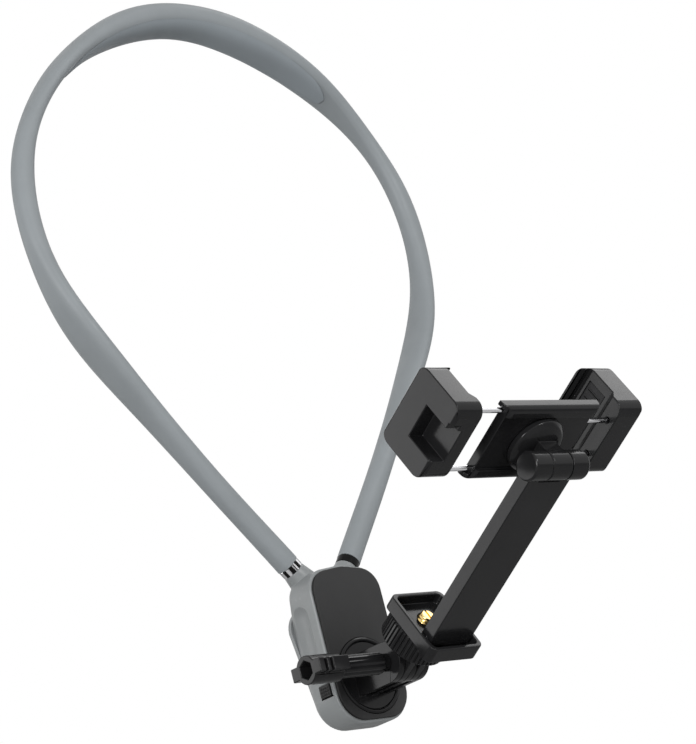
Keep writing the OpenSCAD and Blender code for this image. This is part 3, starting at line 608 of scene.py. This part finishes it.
def make_chest_pad():
    mid = (CHEST_TOP + CHEST_LOW) / 2

    def place(a, b, t):
        s = min(1, max(0, (TAPER_FROM - mid - b) / (TAPER_FROM - CHEST_LOW)))
        return (a * (1 - CHEST_TAPER_SHARE * s ** TAPER_POWER), t - CHEST_T, mid + b)
    pad = cushion("chest_cushion", CHEST_W, CHEST_TOP - CHEST_LOW, CHEST_R,
                  crowned(CHEST_T, CHEST_EDGE, CHEST_CROWN, CHEST_REACH), place,
                  "housing", "shell_silver", 0.95)
    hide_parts("chest_pad")


# Chain of the arm: its frame has z up the arm and y to the screen side
PIVOT = (0, -37.0, -12.9)
TILT = math.radians(28.9)
ARM_REACH, BODY_BACK, BODY_FRONT, JAW_IN = 104.2, -0.95, 3.95, 35.6


def chain(x, y, z):
    return (
        x,
        PIVOT[1] + y * math.sin(TILT) - z * math.cos(TILT),
        PIVOT[2] + y * math.cos(TILT) + z * math.sin(TILT),
    )


def clamp(x, y, z):
    """The chain's frame, moved up to the rear face of the clamp body."""
    return chain(x, BODY_BACK + y, ARM_REACH + z)


RIB_CROWN, RIB_REACH, RIB_LEVELS = 0.05, 0.4, 3


def pad_ribs(stem, count, pitch, size, depth, edge, thick, spot, body):
    """A row of ribs on a soft pad, whose thickness they end at; spot places the pad's points."""
    for i in range(count):
        shift = (i - (count - 1) / 2) * pitch
        cushion(f"{stem}_rib_{i}", *size, crowned(depth, edge, RIB_CROWN, RIB_REACH, RIB_LEVELS),
                lambda a, b, c: spot(a, b + shift, thick - depth + c), body, "pad_rubber", 1)


PHONE_PAD_W, PHONE_PAD_H, PHONE_PAD_R, PHONE_PAD_T = 36, 24, 4.5, 1.2
PHONE_EDGE, PHONE_CROWN, PHONE_REACH = 0.35, 0.15, 9
PHONE_RIBS, PHONE_RIB_PITCH, PHONE_RIB_IN, PHONE_RIB_W = 9, 2.4, 7, 1
PHONE_RIB_R, PHONE_RIB_D, PHONE_RIB_EDGE = 0.45, 0.5, 0.2


def make_phone_pad():
    def spot(a, b, c):
        return chain(a, BODY_FRONT + c, ARM_REACH + b)
    pad = cushion("phone_cushion", PHONE_PAD_W, PHONE_PAD_H, PHONE_PAD_R,
                  crowned(PHONE_PAD_T - PHONE_RIB_D / 2, PHONE_EDGE, PHONE_CROWN, PHONE_REACH), spot,
                  "clamp", "pad_rubber", 1)
    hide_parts("phone_pad")
    pad_ribs("phone", PHONE_RIBS, PHONE_RIB_PITCH, (PHONE_PAD_W - PHONE_RIB_IN, PHONE_RIB_W, PHONE_RIB_R),
             PHONE_RIB_D, PHONE_RIB_EDGE, PHONE_PAD_T, spot, "clamp")


JAW_PAD_W, JAW_PAD_H, JAW_PAD_R, JAW_PAD_T, JAW_PAD_Y, JAW_PAD_FIT = 9, 24, 0.8, 0.8, 15.2, 0.1
JAW_PAD_EDGE, JAW_PAD_CROWN, JAW_PAD_REACH = 0.25, 0.1, 3.6
JAW_RIBS, JAW_RIB_PITCH, JAW_RIB_IN, JAW_RIB_W = 7, 3.1, 2, 1.1
JAW_RIB_R, JAW_RIB_D, JAW_RIB_EDGE = 0.5, 0.35, 0.15


def make_jaw_pad(side, body, node):
    def spot(a, b, c):
        return clamp(side * (JAW_IN + JAW_PAD_T - c), JAW_PAD_Y + a, b)
    pad = cushion(f"{node}_cushion", JAW_PAD_W - 2 * JAW_PAD_FIT, JAW_PAD_H - 2 * JAW_PAD_FIT, JAW_PAD_R,
                  crowned(JAW_PAD_T - 2 * JAW_PAD_FIT, JAW_PAD_EDGE, JAW_PAD_CROWN, JAW_PAD_REACH), spot,
                  body, "pad_rubber", 1)
    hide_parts(node)
    pad_ribs(node, JAW_RIBS, JAW_RIB_PITCH, (JAW_PAD_W - JAW_RIB_IN, JAW_RIB_W, JAW_RIB_R),
             JAW_RIB_D, JAW_RIB_EDGE, JAW_PAD_T, spot, body)


make_chest_pad()
make_phone_pad()
make_jaw_pad(-1, "jaw_left", "left_jaw_pad")
make_jaw_pad(1, "jaw_right", "right_jaw_pad")


# Dimpled caps of the release buttons
BUTTON_X, BUTTON_Y, BUTTON_Z = 18.0, -13.2, -15.9
DOT_R, DOT_PITCH, DOT_PROUD, DOT_ROOT = 0.5, 1.15, 0.28, 0.2
DOTS_DEEP, DOTS_HIGH = (-1.5, -0.5, 0.5, 1.5), (-1, 0, 1)


def dome(centre, side, rings=4, sides=12):
    """Points and faces of a low dome that faces along x and is rooted in the button."""
    points = []
    for i in range(rings):
        t = math.pi / 2 * i / rings
        out, r = DOT_PROUD * math.sin(t) if i else -DOT_ROOT, DOT_R * math.cos(t)
        for j in range(sides):
            a = 2 * math.pi * j / sides
            points.append((centre[0] + side * out, centre[1] + r * math.cos(a), centre[2] + r * math.sin(a)))
    return points, rings_to_faces(rings, sides)


def make_button_dots(side, body):
    points, faces = [], []
    for i in DOTS_DEEP:
        for j in DOTS_HIGH:
            centre = (side * BUTTON_X, BUTTON_Y + i * DOT_PITCH, BUTTON_Z + j * DOT_PITCH)
            dot_points, dot_faces = dome(centre, side)
            faces += [tuple(k + len(points) for k in face) for face in dot_faces]
            points += dot_points
    piece(f"{body}_dots", points, faces, body, "button_black")


make_button_dots(-1, "left_release")
make_button_dots(1, "right_release")


# Tripod stud with its thread, chamfer and driver slot
STUD_R, STUD_LOW, STUD_TOP, STUD_SIDES, STUD_SHARP_DEG = 3.175, 8.0, 22.9, 36, 40
PITCH, THREAD, FLANK, ROWS_PER_PITCH, CHAMFER = 1.27, 0.62, 1.25, 6, 0.8
SLOT_W, SLOT_D = 1.0, 0.9


def make_stud():
    rows = int((STUD_TOP - STUD_LOW) / (PITCH / ROWS_PER_PITCH))
    points = []
    for i in range(rows + 1):
        z = STUD_LOW + (STUD_TOP - STUD_LOW) * i / rows
        for j in range(STUD_SIDES):
            a = 2 * math.pi * j / STUD_SIDES
            wave = abs(((z / PITCH - j / STUD_SIDES) % 1) * 2 - 1)
            dip = max(0, min(1, 0.5 + FLANK * (wave - 0.5)))
            r = min(STUD_R - THREAD * dip, STUD_R - max(0, z - (STUD_TOP - CHAMFER)))
            points.append(chain(r * math.cos(a), r * math.sin(a), z))
    stud = piece("threaded_stud", points, rings_to_faces(rows + 1, STUD_SIDES), "adapter", "stud_brass")
    slot = block(-SLOT_W / 2, SLOT_W / 2, -2 * STUD_R, 2 * STUD_R,
                 STUD_TOP - SLOT_D, STUD_TOP + SLOT_D, chain)
    shape(stud, [(CUT, slot)], "adapter", "stud_brass")
    stud.data.set_sharp_from_angle(angle=math.radians(STUD_SHARP_DEG))
    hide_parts("tripod_stud")


make_stud()


# Lengths that the mouldings share: a lap of joined solids, an overrun of cuts and the gap of moving parts
LAP, OVER, GAP, FIT = 0.5, 1, 0.3, 0.05

# Lock wheel and hinge tray: the wheel's rim runs in a step under the tray's floor
WHEEL_R, WHEEL_BASE, WHEEL_H, RIDGES, RIDGE_D = 12.4, 8.9, 10, 44, 0.7
WHEEL_BEVEL, RIM_CLEAR, BORE_TOP = 1, 0.1, 40
RIDGE_SHARES = ((0, 1), (0.5, 1), (0.62, 0), (0.88, 0))
TRAY_W, TRAY_L, TRAY_H, TRAY_WALL, TRAY_R = 25, 29, 6.3, 1.7, 2.6
TRAY_REAR, TRAY_BASE, TRAY_RISE, TRAY_FLOOR, STEP_CLEAR = 18.85, 18.3, 0.9, 1.4, 0.6
ARM_W, ARM_T, ARM_SET, FOOT_Z, PIN_R, PIN_SIDES = 20.2, 5.6, 11.2, 22.7, 1.25, 32


def foot(a, b, h):
    """Turns a circle's plane so that its axis runs across the chain at the arm's foot."""
    return chain(h, -ARM_SET + a, FOOT_Z + b)


def stud_bore():
    return rod(STUD_R + FIT, 0, BORE_TOP, chain, STUD_SIDES)


def make_wheel():
    outline = []
    for i in range(RIDGES):
        for q, high in RIDGE_SHARES:
            t = 2 * math.pi * (i + q) / RIDGES
            r = WHEEL_R - RIDGE_D * (1 - high)
            outline.append((r * math.cos(t), r * math.sin(t)))
    top, rim = WHEEL_BASE + WHEEL_H, WHEEL_R + RIM_CLEAR
    bevelled = [(rim - WHEEL_BEVEL, WHEEL_BASE), (rim, WHEEL_BASE + WHEEL_BEVEL),
                (rim, top - WHEEL_BEVEL), (rim - WHEEL_BEVEL, top)]
    steps = [(KEEP, turned(bevelled, chain, 2 * RIDGES)), (CUT, stud_bore())]
    carve("wheel_moulding", prism(outline, chain, WHEEL_BASE, top), steps, "wheel", "lock_wheel", edge=0.08)


def make_tray():
    mid = TRAY_L / 2 - TRAY_REAR

    def place(a, b, h):
        return chain(a, mid + b, h)
    inner = rounded(TRAY_W - 2 * TRAY_WALL, TRAY_L - 2 * TRAY_WALL, TRAY_R - TRAY_WALL / 2)
    floor = TRAY_BASE + TRAY_RISE + TRAY_FLOOR
    steps = [
        (CUT, prism(inner, place, floor, TRAY_BASE + 2 * TRAY_H)),
        (CUT, block(-TRAY_W, TRAY_W, -WHEEL_R - STEP_CLEAR, 2 * TRAY_L, TRAY_BASE - OVER,
                    TRAY_BASE + TRAY_RISE, chain)),
        (CUT, stud_bore()),
        (CUT, rod(PIN_R, FIT - TRAY_W / 2, TRAY_W / 2 - FIT, foot, PIN_SIDES)),
        (CUT, rod(ARM_T / 2 + GAP, -ARM_W / 2 - GAP, ARM_W / 2 + GAP, foot)),
    ]
    base = prism(rounded(TRAY_W, TRAY_L, TRAY_R), place, TRAY_BASE, TRAY_BASE + TRAY_H)
    carve("tray_moulding", base, steps, "tray", "hinge_tray", edge=0.4)


# Thumbscrew: collar, fluted barrel and a head with two wings, two slots and a hexagon socket
KNOB_AT, COLLAR_R, COLLAR_L, BARREL_L, BARREL_R = -7.6, 3.3, 3.2, 20.7, 4.1
HEAD_L, HEAD_R, HEX_R, HEX_D, FLUTES, FLUTE_D = 14, 5.2, 3.46, 7, 10, 0.6
FLUTE_STEPS, FLUTE_POWER = 8, 3
WING_T, WING_REACH, SLOTS_IN_WING, SLOT_AT, SLOT_PITCH, SLOT_T, SLOT_IN = 5, 8, 2, 2.6, 2.7, 1.2, 0.8
SHAFT_BORE_R, SHAFT_BORE_L = 2.55, 14.88


def knob(u, v, h):
    return (KNOB_AT - h, PIVOT[1] + v, PIVOT[2] + u)


def make_knob():
    head_at = COLLAR_L + BARREL_L
    end = head_at + HEAD_L
    fluted = []
    for i in range(FLUTES * FLUTE_STEPS):
        t = 2 * math.pi * i / (FLUTES * FLUTE_STEPS)
        r = BARREL_R - FLUTE_D * max(0, math.cos(FLUTES * t)) ** FLUTE_POWER
        fluted.append((r * math.cos(t), r * math.sin(t)))
    steps = [
        (JOIN, rod(COLLAR_R, 0, COLLAR_L + LAP, knob)),
        (JOIN, rod(HEAD_R, head_at, end, knob)),
        (JOIN, block(-WING_T / 2, WING_T / 2, -WING_REACH, WING_REACH, head_at, end, knob)),
    ]
    for i in range(SLOTS_IN_WING):
        top = end - SLOT_AT - i * SLOT_PITCH
        steps.append((CUT, block(-WING_T, WING_T, -WING_REACH - OVER, SLOT_IN - HEAD_R,
                                 top - SLOT_T, top, knob)))
    steps.append((CUT, rod(HEX_R, end - HEX_D, end + OVER, knob, 6)))
    steps.append((CUT, rod(SHAFT_BORE_R, -OVER, SHAFT_BORE_L, knob)))
    base = prism(fluted, knob, COLLAR_L, head_at + LAP)
    carve("knob_moulding", base, steps, "thumbscrew", "thumbscrew_knob", edge=0.35)


# Arm: a flat bar that runs up into the two outer knuckles
TOP_Y, FORK_CUT = -11.8, 12
KNUCKLE_R, BARREL_W, KNUCKLE_W, KNUCKLE_BEVEL, KNUCKLE_GAP = 5.25, 26.4, 10.2, 0.5, 0.2


def cross(a, b, h):
    """Turns a circle's plane so that its axis runs across the chain at the top hinge."""
    return chain(h, TOP_Y + a, ARM_REACH + b)


def drum(half):
    """A bevelled barrel round the axis of the top hinge."""
    low = KNUCKLE_R - KNUCKLE_BEVEL
    inner = half - KNUCKLE_BEVEL
    return turned([(low, -half), (KNUCKLE_R, -inner), (KNUCKLE_R, inner), (low, half)], cross)


def make_arm():
    low, gap = -ARM_SET - ARM_T / 2, KNUCKLE_W / 2
    steps = [
        (JOIN, rod(ARM_T / 2, -ARM_W / 2, ARM_W / 2, foot)),
        (JOIN, drum(BARREL_W / 2)),
        (CUT, block(-gap, gap, TOP_Y - FORK_CUT, TOP_Y + FORK_CUT, ARM_REACH - KNUCKLE_R - GAP,
                    ARM_REACH + FORK_CUT, chain)),
        (CUT, rod(PIN_R, -ARM_W, ARM_W, foot, PIN_SIDES)),
    ]
    base = block(-ARM_W / 2, ARM_W / 2, low, low + ARM_T, FOOT_Z, ARM_REACH, chain)
    carve("arm_bar", base, steps, "arm", "arm", edge=0.35)


# Swivel neck: the middle knuckle, its stem and a stepped disc
DISC_R, DISC_T, DISC_STEP, DISC_STEP_T, HUB_RISE = 11.2, 1.8, 1.2, 1.2, 4.6
UPPER_STEP_SHARE, HUB_SHARE = 1.7, 0.7
STEM_W, STEM_H, PLATE_IN = 8.4, 9, 1.2


def make_neck():
    front = BODY_BACK + PLATE_IN - GAP

    def disc(a, b, h):
        return chain(a, front - h, ARM_REACH + b)
    profile = [(DISC_R, 0), (DISC_R, DISC_T), (DISC_R - DISC_STEP, DISC_T + DISC_STEP_T),
               (DISC_R - 2 * DISC_STEP, DISC_T + UPPER_STEP_SHARE * DISC_STEP_T),
               (STEM_W * HUB_SHARE, HUB_RISE)]
    steps = [
        (JOIN, block(-STEM_W / 2, STEM_W / 2, TOP_Y, front - DISC_T, ARM_REACH - STEM_H / 2,
                     ARM_REACH + STEM_H / 2, chain)),
        (JOIN, drum(KNUCKLE_W / 2 - KNUCKLE_GAP)),
    ]
    carve("neck_disc", turned(profile, disc), steps, "neck", "swivel_neck", edge=0.25)


# Clamp body: rounded rear corners, two rails and a shallow bed for the disc between them
CLAMP_W, CLAMP_H, CLAMP_T, REAR_R, RAIL_R, RAIL_W = 47.8, 32, 4.9, 4.4, 2.2, 4.4
SIDE_CUT, SIDE_CUT_Y, SIDE_CUT_H, ROD_OFF = 2.4, 2.4, 28.4, 3.3
POST_R, POST_HEAD_R, POST_HEAD_T, POST_SIDES = 3.05, 4.5, 1.7, 48


def through_clamp(a, b, h):
    """Turns a circle's plane so that its axis runs from the clamp's rear to its front."""
    return clamp(a, h, b)


def rear_rounded(w, t, r, steps=8):
    """Outline of a bar from the front edge round both rear corners."""
    right = []
    for i in range(steps + 1):
        turn = math.pi / 2 * i / steps
        right.append((w / 2 - r + r * math.sin(turn), r - r * math.cos(turn)))
    right.append((w / 2, t))
    return right + [(-x, y) for x, y in reversed(right)]


def make_clamp_body():
    bar = prism(rear_rounded(CLAMP_W, CLAMP_T, REAR_R), clamp, -CLAMP_H / 2, CLAMP_H / 2)
    rails = prism(rear_rounded(CLAMP_H, CLAMP_T, RAIL_R), lambda a, b, h: clamp(h, b, a), -CLAMP_W, CLAMP_W)
    bed, head = CLAMP_H / 2 - RAIL_W, CLAMP_T - POST_HEAD_T
    steps = [(KEEP, rails)]
    for end in (-CLAMP_W / 2, CLAMP_W / 2):
        steps.append((CUT, block(end - SIDE_CUT, end + SIDE_CUT, ROD_OFF - SIDE_CUT_Y, ROD_OFF + SIDE_CUT_Y,
                                 -SIDE_CUT_H / 2, SIDE_CUT_H / 2, clamp)))
    steps.append((CUT, block(-CLAMP_W, CLAMP_W, -OVER, PLATE_IN, -bed, bed, clamp)))
    steps.append((CUT, rod(POST_R, -OVER, head, through_clamp, POST_SIDES)))
    steps.append((CUT, rod(POST_HEAD_R, head, CLAMP_T + OVER, through_clamp, POST_SIDES)))
    carve("clamp_moulding", bar, steps, "clamp", "clamp_body", edge=0.3)


# Jaws: a lipped hook with rounded corners and a finger window, on the left with a notch at the rear
JAW_OUT, JAW_DEPTH, JAW_R, JAW_HEEL, HEEL_FRONT, HEEL_CHAMFER = 45.6, 24.8, 4.5, 1.9, 6.3, 2.4
LIP_T, LIP_REACH, JAW_BEVEL, JAW_OVER = 2.8, 3.2, 1, 9
WINDOW_H, WINDOW_TOP, WINDOW_OFF, WINDOW_D = 13.3, 13.6, -0.2, 6.2
NOTCH_IN, NOTCH_D, NOTCH_H, NOTCH_OFF, POCKET_REAR = 4.3, 1.6, 15.5, 0.95, 3.4
JAW_ROD_Z, ROD_BORE_R, ROD_ROOT = {-1: 12.9, 1: 7.7}, 1.05, 3


def make_jaw(side, body, node):
    def place(x, y, z):
        return clamp(side * x, y, z)
    lip, heel = JAW_IN - LIP_REACH, JAW_IN - JAW_HEEL
    hook = [(heel, 0), (JAW_OUT - JAW_BEVEL, 0), (JAW_OUT, JAW_BEVEL), (JAW_OUT, JAW_DEPTH - JAW_BEVEL),
            (JAW_OUT - JAW_BEVEL, JAW_DEPTH), (lip, JAW_DEPTH), (lip, JAW_DEPTH - LIP_T / 2),
            (lip + LIP_T / 2, JAW_DEPTH - LIP_T), (JAW_IN, JAW_DEPTH - LIP_T),
            (JAW_IN, HEEL_FRONT + HEEL_CHAMFER), (heel, HEEL_FRONT)]
    face = [(a + JAW_DEPTH / 2, b) for a, b in rounded(JAW_DEPTH, CLAMP_H, JAW_R)]
    rear = -OVER if side < 0 else POCKET_REAR
    steps = [
        (KEEP, prism(face, lambda a, b, h: place(h, a, b), 0, 2 * JAW_OUT)),
        (CUT, block(JAW_OUT - WINDOW_D, JAW_OUT + JAW_OVER, rear, WINDOW_TOP,
                    WINDOW_OFF - WINDOW_H / 2, WINDOW_OFF + WINDOW_H / 2, place)),
    ]
    if side < 0:
        steps.append((CUT, block(JAW_OUT - NOTCH_IN, JAW_OUT + JAW_OVER, -OVER, NOTCH_D,
                                 NOTCH_OFF - NOTCH_H / 2, NOTCH_OFF + NOTCH_H / 2, place)))
    for z in (-JAW_ROD_Z[side], JAW_ROD_Z[side]):
        steps.append((CUT, rod(ROD_BORE_R, heel - OVER, heel + ROD_ROOT,
                               lambda a, b, h: place(h, ROD_OFF + a, z + b), PIN_SIDES)))
    steps.append((CUT, block(JAW_IN - OVER, JAW_IN + JAW_PAD_T, JAW_PAD_Y - JAW_PAD_W / 2,
                             JAW_PAD_Y + JAW_PAD_W / 2, -JAW_PAD_H / 2, JAW_PAD_H / 2, place)))
    carve(f"{body}_hook", prism(hook, place, -CLAMP_H / 2, CLAMP_H / 2), steps, body, node, edge=0.4)


# Housing: the CAD shell with a finger scoop in each side
SCOOP_R, SCOOP_D, SCOOP_Y, SCOOP_TOP, SCOOP_LOW, SHELL_SIDE = 9, 1.3, -9.2, 12.5, -5, 17.4
SCOOP_TIP, SHELL_EDGE, SHELL_CREASE_DEG = 0.01, 0.3, 22


def capsule(side, rings=14, sides=40):
    """A round ended bar that stands along the housing's side, mostly outside it."""
    centre_x = side * (SHELL_SIDE + SCOOP_R - SCOOP_D)
    points = []
    for start, middle in ((-math.pi / 2, SCOOP_LOW), (0, SCOOP_TOP)):
        for k in range(rings):
            t = start + math.pi / 2 * k / (rings - 1)
            r = max(SCOOP_R * math.cos(t), SCOOP_TIP)
            for j in range(sides):
                a = 2 * math.pi * j / sides
                points.append((centre_x + r * math.cos(a), SCOOP_Y + r * math.sin(a),
                               middle + SCOOP_R * math.sin(t)))
    return points, rings_to_faces(2 * rings, sides)


def make_shell():
    old = frame["nodes"]["rear_shell"]
    shell = old.copy()
    shell.data = old.data.copy()
    shell.name = "shell_moulding"
    shell.data.name = "shell_moulding"
    shell.modifiers.clear()
    bpy.context.collection.objects.link(shell)
    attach(shell, "housing")
    weld(shell)
    shape(shell, [(CUT, capsule(-1)), (CUT, capsule(1))], "housing", "shell_silver")
    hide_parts("rear_shell")
    round_edges(shell, SHELL_EDGE, SHELL_CREASE_DEG)


make_wheel()
make_tray()
make_knob()
make_arm()
make_neck()
make_clamp_body()
make_jaw(-1, "jaw_left", "left_jaw")
make_jaw(1, "jaw_right", "right_jaw")
make_shell()


# Studio, in metres: a plain world that lights evenly and shows white behind the object
LIGHT_LOW, LIGHT_HIGH, LIGHT_SPAN, BACKDROP = 0.42, 0.46, 0.6, 1
WHITE = (1, 1, 1, 1)


def make_world():
    world = bpy.data.worlds.new("studio")
    bpy.context.scene.world = world
    world.use_nodes = True
    nodes, links = world.node_tree.nodes, world.node_tree.links
    nodes.clear()
    out = nodes.new("ShaderNodeOutputWorld")
    mix = nodes.new("ShaderNodeMixShader")
    light = nodes.new("ShaderNodeBackground")
    seen = nodes.new("ShaderNodeBackground")
    coord = nodes.new("ShaderNodeTexCoord")
    axes = nodes.new("ShaderNodeSeparateXYZ")
    sky = nodes.new("ShaderNodeMapRange")
    sky.inputs["From Min"].default_value, sky.inputs["From Max"].default_value = -LIGHT_SPAN, LIGHT_SPAN
    sky.inputs["To Min"].default_value, sky.inputs["To Max"].default_value = LIGHT_LOW, LIGHT_HIGH
    links.new(coord.outputs["Generated"], axes.inputs[0])
    links.new(axes.outputs["Z"], sky.inputs["Value"])
    links.new(sky.outputs["Result"], light.inputs["Strength"])
    light.inputs["Color"].default_value = WHITE
    seen.inputs["Color"].default_value = WHITE
    seen.inputs["Strength"].default_value = BACKDROP
    path = nodes.new("ShaderNodeLightPath")
    fac = path.outputs["Is Camera Ray"]
    for ray in ("Is Glossy Ray", "Is Transmission Ray"):
        either = nodes.new("ShaderNodeMath")
        either.operation = "MAXIMUM"
        links.new(fac, either.inputs[0])
        links.new(path.outputs[ray], either.inputs[1])
        fac = either.outputs[0]
    links.new(fac, mix.inputs[0])
    links.new(light.outputs[0], mix.inputs[1])
    links.new(seen.outputs[0], mix.inputs[2])
    links.new(mix.outputs[0], out.inputs[0])


# Each lamp's place, its size and its power in watts; all face the middle of the object
CENTRE = (0, -0.06, 0.1)
LAMPS = {
    "key": ((-1.15, -0.65, 0.05), 0.4, 9),
    "front": ((0.1, -1.25, 0.4), 0.3, 6),
    "top": ((0.8, -0.2, 0.95), 0.5, 1.6),
    "rim": ((-0.9, 0.95, 0.4), 0.6, 2),
}


def make_lamp(name, at, size, power):
    data = bpy.data.lights.new(name, "AREA")
    data.shape = "DISK"
    data.size = size
    data.energy = power
    obj = bpy.data.objects.new(name, data)
    bpy.context.collection.objects.link(obj)
    obj.location = at
    obj.rotation_mode = "QUATERNION"
    obj.rotation_quaternion = (Vector(CENTRE) - Vector(at)).to_track_quat("-Z", "Y")


FLOOR_Z, FLOOR_HALF, FLOOR_GREY, FLOOR_ROUGH = -0.36, 3, 0.5, 0.9


def make_floor():
    mesh = bpy.data.meshes.new("floor")
    bm = bmesh.new()
    bmesh.ops.create_grid(bm, x_segments=1, y_segments=1, size=FLOOR_HALF)
    bm.to_mesh(mesh)
    bm.free()
    obj = bpy.data.objects.new("floor", mesh)
    bpy.context.collection.objects.link(obj)
    obj.location = (0, 0, FLOOR_Z)
    s = Shader("floor", FLOOR_ROUGH)
    s.set("Base Color", (FLOOR_GREY, FLOOR_GREY, FLOOR_GREY, 1))
    mesh.materials.append(s.mat)


make_world()
for name, (at, size, power) in LAMPS.items():
    make_lamp(name, at, size, power)
make_floor()

bpy.context.scene.view_settings.view_transform = "Standard"
bpy.context.view_layer.update()
